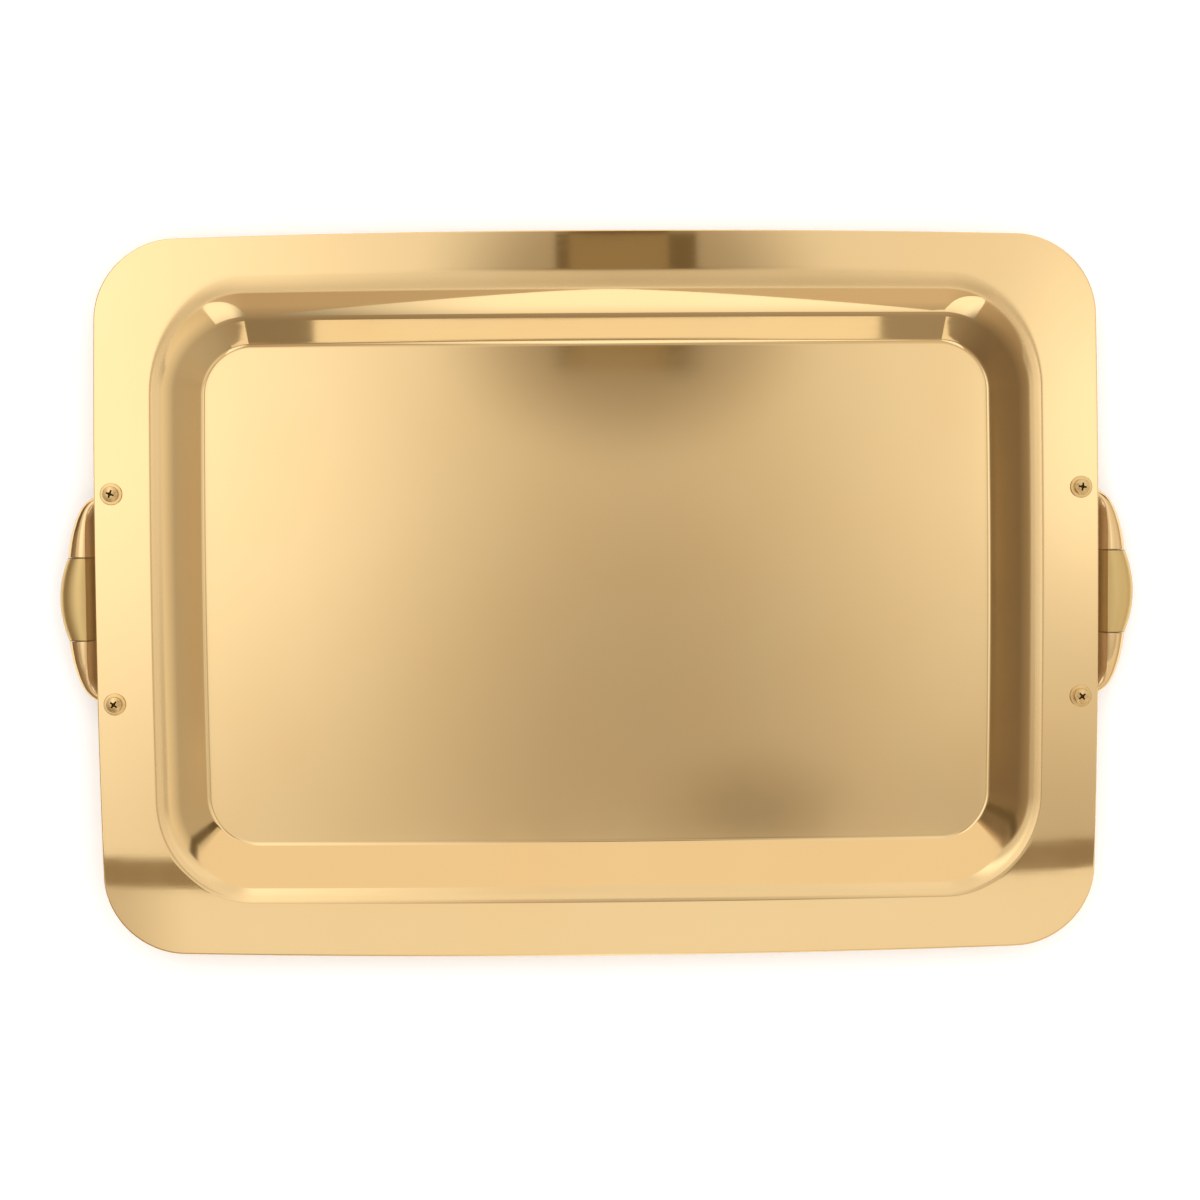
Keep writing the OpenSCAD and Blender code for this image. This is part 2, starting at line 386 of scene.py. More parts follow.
def make_grip(end, sizes, material):
    """A grip: the half-round section carried along Y, fullest in the middle of the handle."""
    reach = SEAM_Y - sizes.seam_gap / 2
    tips = reach - np.array([0, 0.06, 0.2, 0.45]) * MM
    y = np.concatenate([-tips, np.linspace(-tips[-1], tips[-1], 45)[1:-1], tips[::-1]])
    bulge = 1 - (y / SEAM_Y) ** 2
    outer = (13.3 + 3.85 * bulge) * MM
    half_n = (outer - 0.6 * MM) / 1.8
    half_z = (5.2 + 0.3 * bulge) * MM
    middle_n, middle_z = outer - half_n, np.full_like(y, GRIP_MIDDLE_Z)
    n, z = half_round(middle_n, half_n, middle_z, half_z, np.full_like(y, sizes.crease))
    scale = eased_end(len(y), True, True)[:, None]
    n = middle_n[:, None] + (n - middle_n[:, None]) * scale
    z = middle_z[:, None] + (z - middle_z[:, None]) * scale
    grid = np.stack([ENDS[end] * (RIM_X + n), np.repeat(y[:, None], n.shape[1], 1), z], -1)
    grip = closed_shell(f"{end}_grip_shell", grid, turned=ENDS[end] < 0)
    place(grip, material, f"{end}_grip")


def make_arm(end, side, sizes, material):
    """An arm: the half-round section carried from the seam, round the bend and under the flange to
    a round boss below the screw."""
    # outward from the rim, along Y, up, half width, half height and crease, in millimetres
    crease = sizes.crease / MM
    stations = (
        (6.25, 0.0, 14.2, 7.05, 5.2, crease),
        (6.10, 4.0, 14.2, 6.65, 5.1, crease),
        (5.85, 8.5, 14.2, 6.1, 4.9, crease),
        (5.40, 13.0, 14.3, 5.3, 4.5, crease - 0.1),
        (4.75, 17.5, 14.4, 4.3, 3.9, crease - 0.4),
        (3.55, 21.6, 14.6, 3.25, 3.3, 2.3),
        (1.60, 24.4, 14.8, 2.5, 2.9, 0.6),
        (-1.2, 26.2, 14.9, 2.25, 2.7, -2.2),
        (-4.8, 27.6, 14.9, 2.3, 2.6, -5.8),
        (-8.2, 29.0, 14.9, 2.3, 2.5, -9.2),
    )
    line = through(stations, 76) * MM
    lead = np.linspace(0, 1, 4)[:-1, None]
    line = np.concatenate([line[:1] + lead * (line[1:2] - line[:1]), line[1:]])
    path = line[:, :2] + (RIM_X, SEAM_Y + sizes.seam_gap / 2)
    tangent = np.gradient(path, axis=0)
    tangent /= np.linalg.norm(tangent, axis=1, keepdims=True)
    outward = np.stack([tangent[:, 1], -tangent[:, 0]], -1)
    crease_n = (line[:, 5] - line[:, 0]) / np.maximum(outward[:, 0], 0.35)
    zero = line[:, 0] * 0
    n, z = half_round(zero, line[:, 3], line[:, 2], line[:, 4], np.maximum(crease_n, -0.45 * line[:, 3]))
    scale = eased_end(len(line), True, False)[:, None]
    n *= scale
    z = line[:, 2:3] + (z - line[:, 2:3]) * scale
    x = ENDS[end] * (path[:, :1] + n * outward[:, :1])
    y = SIDES[side] * (path[:, 1:] + n * outward[:, 1:])
    turned = ENDS[end] * SIDES[side] < 0
    arm = closed_shell(f"{end}_{side}_arm_casting", np.stack([x, y, z], -1), turned=turned)
    radius, under, top = 6 * MM, BOSS_LOW, FLANGE_TOP - 1 * MM
    corner = 1.6 * MM
    turn = np.linspace(-math.pi / 2, 0, 9)
    rounded = np.stack([np.cos(turn), np.sin(turn)], -1) * corner + (radius - corner, under + corner)
    profile = np.concatenate([rounded, [(radius, top - 0.3 * MM), (radius - 0.3 * MM, top)]])
    boss = lathe("boss", profile, (ENDS[end] * SCREW.x, SIDES[side] * SCREW.y), 64)
    combined(arm, [boss], "UNION")
    place(arm, material, f"{end}_{side}_arm")


# ---- fasteners


def make_screw(end, side, sizes, material, turn):
    """A pan-head screw on a polar grid. The top is a dome less a cross recess, whose depth falls
    with the distance from the arms of the cross; the shank carries one helical thread."""
    radius, under = 3.55 * MM, WASHER_HIGH.z
    angle = np.linspace(0, 2 * math.pi, 120, endpoint=False)
    out = np.concatenate([np.linspace(0.02, 2.55, 40), np.linspace(2.62, 3.0, 6)]) * MM
    round_edge = np.linspace(0, math.pi / 2, 9)
    edge = 0.55 * MM
    rounded = radius - edge + edge * np.sin(round_edge)
    side_r = np.concatenate([rounded, [radius, radius - 0.1 * MM, 2.0 * MM]])
    crown = HEAD_TOP - 0.42 * MM
    side_z = np.concatenate([crown - edge + edge * np.cos(round_edge), [under + 0.1 * MM, under, under]])
    shank_z = np.linspace(under - 0.02 * MM, SCREW_TIP, 90)
    pitch, depth = 0.7 * MM, 0.22 * MM

    dome = HEAD_TOP - (HEAD_TOP - crown) * (out / (radius - edge)) ** 2
    x, y = out[:, None] * np.cos(angle + turn), out[:, None] * np.sin(angle + turn)
    half = sizes.recess_width / 2
    reach = 1.95 * MM
    arm_x = np.maximum(np.abs(y) - half, (np.abs(x) - reach) * 0.5)
    arm_y = np.maximum(np.abs(x) - half, (np.abs(y) - reach) * 0.5)
    hub, wall = np.hypot(x, y) - 0.95 * MM, 0.28 * MM
    inside = np.clip(-np.minimum(np.minimum(arm_x, arm_y), hub) / wall, 0, 1)
    inside = inside * inside * (3 - 2 * inside)
    recess = sizes.recess_depth * inside * (1 - 0.35 * np.hypot(x, y) / reach)
    top_z = dome[:, None] - recess

    thread = 0.5 + 0.5 * np.cos(2 * math.pi * shank_z[:, None] / pitch - angle)
    run_in, run_out = 1.2 * MM, 0.8 * MM
    fade = np.clip((under - shank_z) / run_in, 0, 1) * np.clip((shank_z - SCREW_TIP) / run_out, 0, 1)
    shank_r = 1.95 * MM - depth * thread * fade[:, None]
    shank_r[-1] *= 0.8
    turns = np.ones(len(angle))
    grid_r = np.concatenate([out[:, None] * turns, side_r[:, None] * turns, shank_r])
    grid_z = np.concatenate([top_z, side_z[:, None] * turns, shank_z[:, None] * turns])
    x = ENDS[end] * SCREW.x + grid_r * np.cos(angle)
    y = SIDES[side] * SCREW.y + grid_r * np.sin(angle)
    screw = closed_shell(f"{end}_{side}_screw_plated", np.stack([x, y, grid_z], -1)[::-1])
    # The recess is marked on the points, for the painted shade that darkens its colour.
    painted_shade = np.zeros(len(screw.data.vertices), np.float32)
    deep = np.zeros(grid_r.shape)
    deep[::-1][: len(out)] = inside
    painted_shade[: deep.size] = deep.ravel()
    painted_shade[-1] = 1
    screw.data.attributes.new("recess", "FLOAT", "POINT").data.foreach_set("value", painted_shade)
    place(screw, material, f"{end}_{side}_screw")


def make_washer(end, side, material):
    """A flat washer: a ring with round outer and inner edges, turned about the screw."""
    low, high = WASHER_LOW.z, WASHER_HIGH.z
    outer, inner, corner = 5.05 * MM, 2.15 * MM, 0.3 * MM
    turn = np.linspace(0, math.pi / 2, 7)
    quarter = np.stack([np.sin(turn), np.cos(turn)], -1) * corner
    upper_out = quarter + (outer - corner, high - corner)
    lower_out = quarter[::-1] * (1, -1) + (outer - corner, low + corner)
    ring = np.concatenate([[(inner, high)], upper_out, lower_out, [(inner, low)]])[::-1]
    angle = np.linspace(0, 2 * math.pi, 96, endpoint=False)
    cos, sin = np.cos(angle), np.sin(angle)
    x = ENDS[end] * SCREW.x + ring[:, :1] * cos
    y = SIDES[side] * SCREW.y + ring[:, :1] * sin
    grid = np.stack([x, y, np.repeat(ring[:, 1:], len(angle), 1)], -1)
    # The last ring meets the first one again, which closes the bore.
    first = np.arange(len(angle))
    following = (first + 1) % len(angle)
    last = (len(ring) - 1) * len(angle)
    bore = np.stack([last + first, last + following, following, first], -1)
    faces = [quads(len(ring), len(angle)), bore]
    washer = smooth_object(f"{end}_{side}_washer_plated", grid.reshape(-1, 3), faces)
    place(washer, material, f"{end}_{side}_washer")


# ---- finishes


def add(tree, kind, values=None, links=None, **settings):
    """Adds a node with its settings, the values of its sockets and the outputs linked to them."""
    made = tree.nodes.new(kind)
    for name, value in settings.items():
        setattr(made, name, value)
    for name, value in (values or {}).items():
        made.inputs[name].default_value = value
    for name, source in (links or {}).items():
        tree.links.new(source, made.inputs[name])
    return made


def fresh(name):
    """An empty node material and its tree."""
    made = bpy.data.materials.new(name)
    made.use_nodes = True
    made.node_tree.nodes.clear()
    return made, made.node_tree


def finish_metal(tree, base, roughness, normal):
    """The metal shader, with its colour, roughness and bump linked and metallic set on its socket."""
    shader = add(
        tree, "ShaderNodeBsdfPrincipled", {"Metallic": 1.0},
        {"Base Color": base, "Roughness": roughness, "Normal": normal},
    )
    add(tree, "ShaderNodeOutputMaterial", links={"Surface": shader.outputs["BSDF"]})


def gold_sheet(sizes):
    """Brass-coloured sheet, pressed and then mirror polished: a clear reflection with a faint haze,
    drawn out of true in slow waves, and duller where things have stood on the floor."""
    made, tree = fresh("mirror_polished_brass_sheet")
    place_on = add(tree, "ShaderNodeTexCoord").outputs["Object"]
    # Colour: patches of a slightly redder and a slightly paler plating, about 60 mm across.
    patches = add(
        tree, "ShaderNodeTexNoise", {"Scale": 17.0, "Detail": 2.0, "Roughness": 0.4}, {"Vector": place_on}
    )
    tint = add(
        tree, "ShaderNodeMix",
        {
            "A": [v * s for v, s in zip(sizes.colour, (1.0, 0.965, 0.93, 1))],
            "B": [min(1, v * s) for v, s in zip(sizes.colour, (1.0, 1.03, 1.06, 1))],
        },
        {"Factor": patches.outputs["Fac"]}, data_type="RGBA",
    )
    # Polishing lines along X, drawn 1.2 mm apart and 60 mm long: the real ones are far finer.
    combed = add(tree, "ShaderNodeMapping", {"Scale": (16.0, 800.0, 800.0)}, {"Vector": place_on})
    lines = add(
        tree, "ShaderNodeTexNoise", {"Scale": 1.0, "Detail": 3.0}, {"Vector": combed.outputs["Vector"]}
    )
    # Haze in clouds of about 35 mm.
    clouds = add(
        tree, "ShaderNodeTexNoise", {"Scale": 28.0, "Detail": 4.0, "Roughness": 0.55},
        {"Vector": place_on},
    )
    # Use has dulled the flat floor, which lies lowest.
    height = add(tree, "ShaderNodeSeparateXYZ", links={"Vector": place_on})
    floor = add(
        tree, "ShaderNodeMapRange",
        {"From Min": 1.3 * MM, "From Max": 3.0 * MM, "To Min": 0.04, "To Max": 0.0},
        {"Value": height.outputs["Z"]}, interpolation_type="SMOOTHSTEP",
    )
    # The polishing wheel reaches less well into the steep bends at the two ends, and leaves a soft
    # satin band where the bend runs out into the flange. Each of the two is where a pair of ramps
    # overlaps: the height or length read, where it starts and stops, and the ramp's value at both.
    along = add(tree, "ShaderNodeMath", links={0: height.outputs["X"]}, operation="ABSOLUTE").outputs[0]
    up, dulled = height.outputs["Z"], floor.outputs["Result"]
    steep = (
        (along, 176 * MM, 184 * MM, 0.0, 1.0),
        (up, FLANGE_TOP - 0.6 * MM, FLANGE_TOP - 0.05 * MM, 0.1, 0.0),
    )
    band = (
        (up, FLANGE_TOP - 1.7 * MM, FLANGE_TOP - 0.9 * MM, 0.0, 0.2),
        (up, FLANGE_TOP - 0.18 * MM, FLANGE_TOP - 0.07 * MM, 1.0, 0.0),
    )
    for pair in (steep, band):
        ramps = [
            add(
                tree, "ShaderNodeMapRange",
                {"From Min": start, "From Max": stop, "To Min": at_start, "To Max": at_stop},
                {"Value": source}, interpolation_type="SMOOTHSTEP",
            ).outputs["Result"]
            for source, start, stop, at_start, at_stop in pair
        ]
        overlap = add(
            tree, "ShaderNodeMath", links={0: ramps[0], 1: ramps[1], 2: dulled}, operation="MULTIPLY_ADD"
        )
        dulled = overlap.outputs[0]
    haze = add(
        tree, "ShaderNodeMapRange",
        {"From Min": 0.3, "From Max": 0.75, "To Min": 0.015, "To Max": 0.045},
        {"Value": clouds.outputs["Fac"]},
    )
    combed_haze = add(
        tree, "ShaderNodeMath", {1: 0.025}, {0: lines.outputs["Fac"], 2: haze.outputs["Result"]},
        operation="MULTIPLY_ADD",
    )
    roughness = add(
        tree, "ShaderNodeMath", links={0: combed_haze.outputs[0], 1: dulled}, operation="ADD"
    )
    # Slow waves, 45 mm across and a few hundredths of a millimetre deep, left by the press.
    waves = add(
        tree, "ShaderNodeTexNoise", {"Scale": 22.0, "Detail": 1.0, "Roughness": 0.3}, {"Vector": place_on}
    )
    warped = add(
        tree, "ShaderNodeBump", {"Distance": 0.02 * MM}, {"Height": waves.outputs["Fac"]}
    )
    rubbed = add(
        tree, "ShaderNodeBump", {"Strength": 0.12, "Distance": 0.003 * MM},
        {"Height": lines.outputs["Fac"], "Normal": warped.outputs["Normal"]},
    )
    finish_metal(tree, tint.outputs["Result"], roughness.outputs[0], rubbed.outputs["Normal"])
    return made


def gold_casting(name, base, low, high, grain, depth):
    """Cast zinc alloy under brass-coloured plating. The polish leaves soft casting waves about 6 mm
    across, and the grain of the surface gives it its satin or its shine."""
    made, tree = fresh(name)
    place_on = add(tree, "ShaderNodeTexCoord").outputs["Object"]
    mottle = add(
        tree, "ShaderNodeTexNoise", {"Scale": 70.0, "Detail": 3.0}, {"Vector": place_on}
    )
    tint = add(
        tree, "ShaderNodeMix",
        {
            "A": [v * s for v, s in zip(base, (0.97, 0.94, 0.9, 1))],
            "B": [min(1, v * s) for v, s in zip(base, (1.02, 1.03, 1.06, 1))],
        },
        {"Factor": mottle.outputs["Fac"]}, data_type="RGBA",
    )
    # Painted shade: the lower half is darker, as an underside out of the light, and a dark line of
    # painted shade runs along the seams.
    apart = add(tree, "ShaderNodeSeparateXYZ", links={"Vector": place_on})
    painted_underside_shade = add(
        tree, "ShaderNodeMapRange",
        {"From Min": GRIP_MIDDLE_Z, "From Max": GRIP_MIDDLE_Z + 2.8 * MM, "To Min": 0.62, "To Max": 0.0},
        {"Value": apart.outputs["Z"]},
    )
    sideways = add(tree, "ShaderNodeMath", links={0: apart.outputs["Y"]}, operation="ABSOLUTE")
    from_seam = add(tree, "ShaderNodeMath", {1: SEAM_Y}, {0: sideways.outputs[0]}, operation="SUBTRACT")
    apart_from_seam = add(tree, "ShaderNodeMath", links={0: from_seam.outputs[0]}, operation="ABSOLUTE")
    # Painted shade along the seam between a grip and its arm.
    painted_seam_shade = add(
        tree, "ShaderNodeMapRange",
        {"From Min": 0.22 * MM, "From Max": 0.5 * MM, "To Min": 0.85, "To Max": 0.0},
        {"Value": apart_from_seam.outputs[0]},
    )
    dark = add(
        tree, "ShaderNodeMath", links={0: painted_underside_shade.outputs["Result"], 1: painted_seam_shade.outputs["Result"]},
        operation="MAXIMUM",
    )
    # Both painted shades mix the colour towards a dark brown.
    painted_shade = add(
        tree, "ShaderNodeMix", {"B": [v * s for v, s in zip(base, (0.32, 0.27, 0.2, 1))]},
        {"Factor": dark.outputs[0], "A": tint.outputs["Result"]}, data_type="RGBA",
    )
    fine = add(
        tree, "ShaderNodeTexNoise", {"Scale": grain, "Detail": 4.0, "Roughness": 0.6},
        {"Vector": place_on},
    )
    roughness = add(
        tree, "ShaderNodeMapRange", {"From Min": 0.3, "From Max": 0.7, "To Min": low, "To Max": high},
        {"Value": fine.outputs["Fac"]},
    )
    soft = add(tree, "ShaderNodeTexNoise", {"Scale": 160.0, "Detail": 1.0}, {"Vector": place_on})
    cast = add(
        tree, "ShaderNodeBump", {"Distance": 0.02 * MM}, {"Height": soft.outputs["Fac"]}
    )
    grained = add(
        tree, "ShaderNodeBump", {"Distance": depth},
        {"Height": fine.outputs["Fac"], "Normal": cast.outputs["Normal"]},
    )
    finish_metal(tree, painted_shade.outputs["Result"], roughness.outputs["Result"], grained.outputs["Normal"])
    return made


def plated_steel(sizes):
    """Steel screws and washers under bright brass plating: turned rings about each screw catch the
    light, and the cross recess is darkened with painted shade."""
    made, tree = fresh("bright_plated_steel")
    place_on = add(tree, "ShaderNodeTexCoord").outputs["Object"]
    apart = add(tree, "ShaderNodeSeparateXYZ", links={"Vector": place_on})
    # Every screw stands the same distance from the middle both ways, so the sizes without their
    # signs bring all four into one.
    folded_x = add(tree, "ShaderNodeMath", links={0: apart.outputs["X"]}, operation="ABSOLUTE")
    folded_y = add(tree, "ShaderNodeMath", links={0: apart.outputs["Y"]}, operation="ABSOLUTE")
    one = add(tree, "ShaderNodeCombineXYZ", links={"X": folded_x.outputs[0], "Y": folded_y.outputs[0]})
    centred = add(
        tree, "ShaderNodeMapping", {"Location": (-SCREW.x, -SCREW.y, 0)},
        {"Vector": one.outputs["Vector"]},
    )
    # Turning marks 0.35 mm apart.
    rings = add(
        tree, "ShaderNodeTexWave", {"Scale": 900.0, "Distortion": 0.6, "Detail": 1.0},
        {"Vector": centred.outputs["Vector"]}, wave_type="RINGS", rings_direction="Z",
    )
    spots = add(tree, "ShaderNodeTexNoise", {"Scale": 600.0, "Detail": 3.0}, {"Vector": place_on})
    recess = add(tree, "ShaderNodeAttribute", attribute_name="recess")
    tint = add(
        tree, "ShaderNodeMix",
        {"A": [v * s for v, s in zip(sizes.colour, (0.92, 0.88, 0.8, 1))], "B": sizes.colour},
        {"Factor": spots.outputs["Fac"]}, data_type="RGBA",
    )
    # Painted shade: the cross recess is mixed towards dark brown.
    painted_recess_shade = add(
        tree, "ShaderNodeMix", {"B": linear("#4A3312")},
        {"Factor": recess.outputs["Fac"], "A": tint.outputs["Result"]}, data_type="RGBA",
    )
    roughness = add(
        tree, "ShaderNodeMapRange", {"From Min": 0.2, "From Max": 0.8, "To Min": 0.12, "To Max": 0.26},
        {"Value": spots.outputs["Fac"]},
    )
    bump = add(
        tree, "ShaderNodeBump", {"Strength": 0.5, "Distance": 0.012 * MM},
        {"Height": rings.outputs["Fac"]},
    )
    finish_metal(tree, painted_recess_shade.outputs["Result"], roughness.outputs["Result"], bump.outputs["Normal"])
    return made


def turned_steel():
    """Plain steel rod, turned: fine rings along its length and a grey, slightly rough sheen."""
    made, tree = fresh("turned_steel_rod")
    place_on = add(tree, "ShaderNodeTexCoord").outputs["Object"]
    # Tool marks 0.4 mm apart along the rod.
    marks = add(
        tree, "ShaderNodeTexWave", {"Scale": 780.0, "Distortion": 1.5, "Detail": 2.0},
        {"Vector": place_on}, wave_type="BANDS", bands_direction="Y",
    )
    stain = add(tree, "ShaderNodeTexNoise", {"Scale": 240.0, "Detail": 3.0}, {"Vector": place_on})
    tint = add(
        tree, "ShaderNodeMix", {"A": linear("#8F8B85"), "B": linear("#BDB9B2")},
        {"Factor": stain.outputs["Fac"]}, data_type="RGBA",
    )
    roughness = add(
        tree, "ShaderNodeMapRange", {"To Min": 0.28, "To Max": 0.42}, {"Value": marks.outputs["Fac"]}
    )
    bump = add(
        tree, "ShaderNodeBump", {"Strength": 0.4, "Distance": 0.01 * MM}, {"Height": marks.outputs["Fac"]}
    )
    finish_metal(tree, tint.outputs["Result"], roughness.outputs["Result"], bump.outputs["Normal"])
    return made


# ---- stage

# The camera looks almost straight down from this height over the floor of the tray, which lay
# turned by small angles and slightly off the middle of the view.
CAMERA_HEIGHT = 933.9 * MM
CAMERA_TILT = [math.radians(angle) for angle in (2.442, 0.648, 0.478)]
CAMERA_SHIFT = Vector((-0.995, 2.853, 0)) * MM


def camera_place():
    """Where the camera stands and how it is turned."""
    rx, ry, rz = CAMERA_TILT
    tilted = Matrix.Rotation(rz, 3, "Z") @ Matrix.Rotation(ry, 3, "Y") @ Matrix.Rotation(rx, 3, "X")
    turn = tilted.transposed()
    place_at = turn @ (Vector((0, 0, CAMERA_HEIGHT)) - CAMERA_SHIFT) + Vector((0, 0, 1 * MM))
    return place_at, turn


def card(name, corners, material, seen=False):
    """A flat card of the studio from its four corners."""
    mesh = bpy.data.meshes.new(name)
    mesh.from_pydata([tuple(corner) for corner in corners], [], [tuple(range(len(corners)))])
    mesh.materials.append(material)
    made = linked(name, mesh)
    made.visible_camera = seen


def glow(name, colour_value, strength):
    """A card that gives an even light."""
    made, tree = fresh(name)
    light = add(tree, "ShaderNodeEmission", {"Color": linear(colour_value), "Strength": strength})
    add(tree, "ShaderNodeOutputMaterial", links={"Surface": light.outputs["Emission"]})
    return made


def soft_ceiling(level, mirrored, height):
    """The large soft light: brightest at the left, with soft-edged dim places, and falling off past
    the ends. Each place is given by the spot in the level tray that mirrors it, in millimetres."""
    made, tree = fresh("soft_ceiling_light")
    where = add(tree, "ShaderNodeTexCoord").outputs["Object"]
    apart = add(tree, "ShaderNodeSeparateXYZ", links={"Vector": where})
    x, y = apart.outputs["X"], apart.outputs["Y"]
    # Falling off from the left, a little brighter at the right, dimmer to the front, and dying away
    # past both ends.
    shares = [
        (x, mirrored(60, 0)[0], mirrored(220, 0)[0], 1.0, 1.08),
        (y, mirrored(0, -125)[1], mirrored(0, 70)[1], 0.7, 1.0),
        (x, mirrored(-480, 0)[0], mirrored(-260, 0)[0], 0.55, 1.0),
        (x, mirrored(300, 0)[0], mirrored(560, 0)[0], 1.0, 0.85),
    ]
    # Soft ovals: middle, half sizes, strength in the middle, and how far in that strength starts.
    for mid_x, mid_y, half_x, half_y, strength, core in (
        (22, 0, 165, 240, 0.68, 1.0),
        (14, 132, 100, 78, 0.54, 0.6),
        (74, -102, 62, 36, 0.64, 1.0),
        (205, -105, 110, 60, 0.9, 1.0),
        (225, 75, 60, 120, 1.35, 1.0),
    ):
        low, high = mirrored(mid_x - half_x, mid_y - half_y), mirrored(mid_x + half_x, mid_y + half_y)
        middle, half = (low + high) / 2, (high - low) / 2
        spot = add(
            tree, "ShaderNodeMapping", {"Location": (*middle, height), "Scale": (*half, 1)},
            {"Vector": where}, vector_type="TEXTURE",
        )
        ball = add(
            tree, "ShaderNodeTexGradient", links={"Vector": spot.outputs["Vector"]},
            gradient_type="SPHERICAL",
        )
        shares.append((ball.outputs["Fac"], 0.0, core, 1.0, strength))

    first, along = (
        add(
            tree, "ShaderNodeMapRange",
            {
                "From Min": mirrored(start, 0)[0], "From Max": mirrored(stop, 0)[0],
                "To Min": at_start * level, "To Max": at_stop * level,
            },
            {"Value": x}, interpolation_type="SMOOTHSTEP",
        )
        for start, stop, at_start, at_stop in ((-270, -20, 1.40, 0.9), (-225, -185, 0.68, 0.95))
    )
    value = first.outputs["Result"]
    for source, low, high, at_low, at_high in shares:
        share = add(
            tree, "ShaderNodeMapRange",
            {"From Min": low, "From Max": high, "To Min": at_low, "To Max": at_high}, {"Value": source},
            interpolation_type="SMOOTHSTEP",
        )
        product = add(
            tree, "ShaderNodeMath", links={0: value, 1: share.outputs["Result"]}, operation="MULTIPLY"
        )
        value = product.outputs[0]
    # In front of the beam the light is even, but for the far left.
    front = add(
        tree, "ShaderNodeMapRange",
        {
            "From Min": mirrored(0, -128)[1], "From Max": mirrored(0, -120)[1],
            "To Min": 1.0, "To Max": 0.0,
        },
        {"Value": y}, interpolation_type="SMOOTHSTEP",
    )
    even = add(
        tree, "ShaderNodeMix",
        links={"Factor": front.outputs["Result"], "A": value, "B": along.outputs["Result"]},
    )
    value = even.outputs["Result"]
    # Where the light is dim it is also warmer.
    warm = add(tree, "ShaderNodeMapRange", {"From Min": 0.3, "From Max": 1.1}, {"Value": value})
    tint = add(
        tree, "ShaderNodeMix", {"A": linear("#FFF4E6"), "B": linear("#FFFFFF")},
        {"Factor": warm.outputs["Result"]}, data_type="RGBA",
    )
    light = add(tree, "ShaderNodeEmission", links={"Color": tint.outputs["Result"], "Strength": value})
    add(tree, "ShaderNodeOutputMaterial", links={"Surface": light.outputs["Emission"]})
    return made


def arched_light(height):
    """The front reflector: dimmer towards the table and towards its left end."""
    made, tree = fresh("front_reflector_light")
    where = add(tree, "ShaderNodeTexCoord").outputs["Object"]
    apart = add(tree, "ShaderNodeSeparateXYZ", links={"Vector": where})
    ramps = [
        add(
            tree, "ShaderNodeMapRange",
            {"From Min": start, "From Max": stop, "To Min": at_start, "To Max": at_stop},
            {"Value": apart.outputs[axis]}, interpolation_type="SMOOTHSTEP",
        ).outputs["Result"]
        for axis, start, stop, at_start, at_stop in (
            ("Z", 0.0, 0.75 * height, 0.6, 1.3), ("X", -0.42, -0.05, 0.35, 1.0)
        )
    ]
    strength = add(tree, "ShaderNodeMath", links={0: ramps[0], 1: ramps[1]}, operation="MULTIPLY")
    light = add(
        tree, "ShaderNodeEmission", {"Color": linear("#FFFFFF")}, {"Strength": strength.outputs[0]}
    )
    add(tree, "ShaderNodeOutputMaterial", links={"Surface": light.outputs["Emission"]})
    return made


def pale_table():
    """Matt white table top, faintly mottled, that also glows a little so that shadows stay light."""
    made, tree = fresh("matt_white_table")
    place_on = add(tree, "ShaderNodeTexCoord").outputs["Object"]
    cloud = add(tree, "ShaderNodeTexNoise", {"Scale": 3.0, "Detail": 2.0}, {"Vector": place_on})
    tint = add(
        tree, "ShaderNodeMix", {"A": linear("#F4F4F4"), "B": linear("#F8F8F8")},
        {"Factor": cloud.outputs["Fac"]}, data_type="RGBA",
    )
    shader = add(
        tree, "ShaderNodeBsdfPrincipled",
        {"Roughness": 0.9, "Emission Color": (1, 1, 1, 1), "Emission Strength": 0.12},
        {"Base Color": tint.outputs["Result"]},
    )
    add(tree, "ShaderNodeOutputMaterial", links={"Surface": shader.outputs["BSDF"]})
    return made


def studio_air():
    """The light all round: bright behind, half lit to the right, dim to the left, brighter higher up."""
    world = bpy.data.worlds.new("studio")
    world.use_nodes = True
    tree = world.node_tree
    tree.nodes.clear()
    way = add(tree, "ShaderNodeTexCoord").outputs["Generated"]
    apart = add(tree, "ShaderNodeSeparateXYZ", links={"Vector": way})
    share, behind = (
        add(
            tree, "ShaderNodeMapRange", {"From Min": start, "From Max": stop},
            {"Value": apart.outputs[axis]}, interpolation_type="SMOOTHSTEP",
        ).outputs["Result"]
        for axis, start, stop in (("X", -0.8, 0.9), ("Y", 0.55, 0.7))
    )
    level = add(tree, "ShaderNodeMath", {1: 0.30, 2: 0.21}, {0: share}, operation="MULTIPLY_ADD")
    upward = add(
        tree, "ShaderNodeMapRange", {"From Min": 0.08, "From Max": 0.62, "To Min": 1.0, "To Max": 1.9},
        {"Value": apart.outputs["Z"]},
    )
    rising = add(
        tree, "ShaderNodeMath", links={0: level.outputs[0], 1: upward.outputs["Result"]},
        operation="MULTIPLY",
    )
    # The dim side is warm and the bright side nearly neutral.
    tint = add(
        tree, "ShaderNodeMix", {"A": linear("#F4DCC0"), "B": linear("#FBF4E8")},
        {"Factor": share}, data_type="RGBA",
    )
    strength = add(
        tree, "ShaderNodeMix", {"B": 0.95}, {"Factor": behind, "A": rising.outputs[0]}
    )
    air = add(
        tree, "ShaderNodeBackground",
        links={"Color": tint.outputs["Result"], "Strength": strength.outputs["Result"]},
    )
    add(tree, "ShaderNodeOutputWorld", links={"Surface": air.outputs["Background"]})
    return world


# ---- operators


class TrayOperator:
    """What all the operators share."""

    bl_options = {"REGISTER", "UNDO"}

    @classmethod
    def poll(cls, context):
        return context.scene is not None


class TRAY_OT_sheet(TrayOperator, Operator):
    """Make the pressed and polished sheet"""

    bl_idname = "tray.sheet"
    bl_label = "Sheet"

    def execute(self, context):
        sizes = context.scene.tray_sheet
        make_sheet(sizes, gold_sheet(sizes))
        return {"FINISHED"}


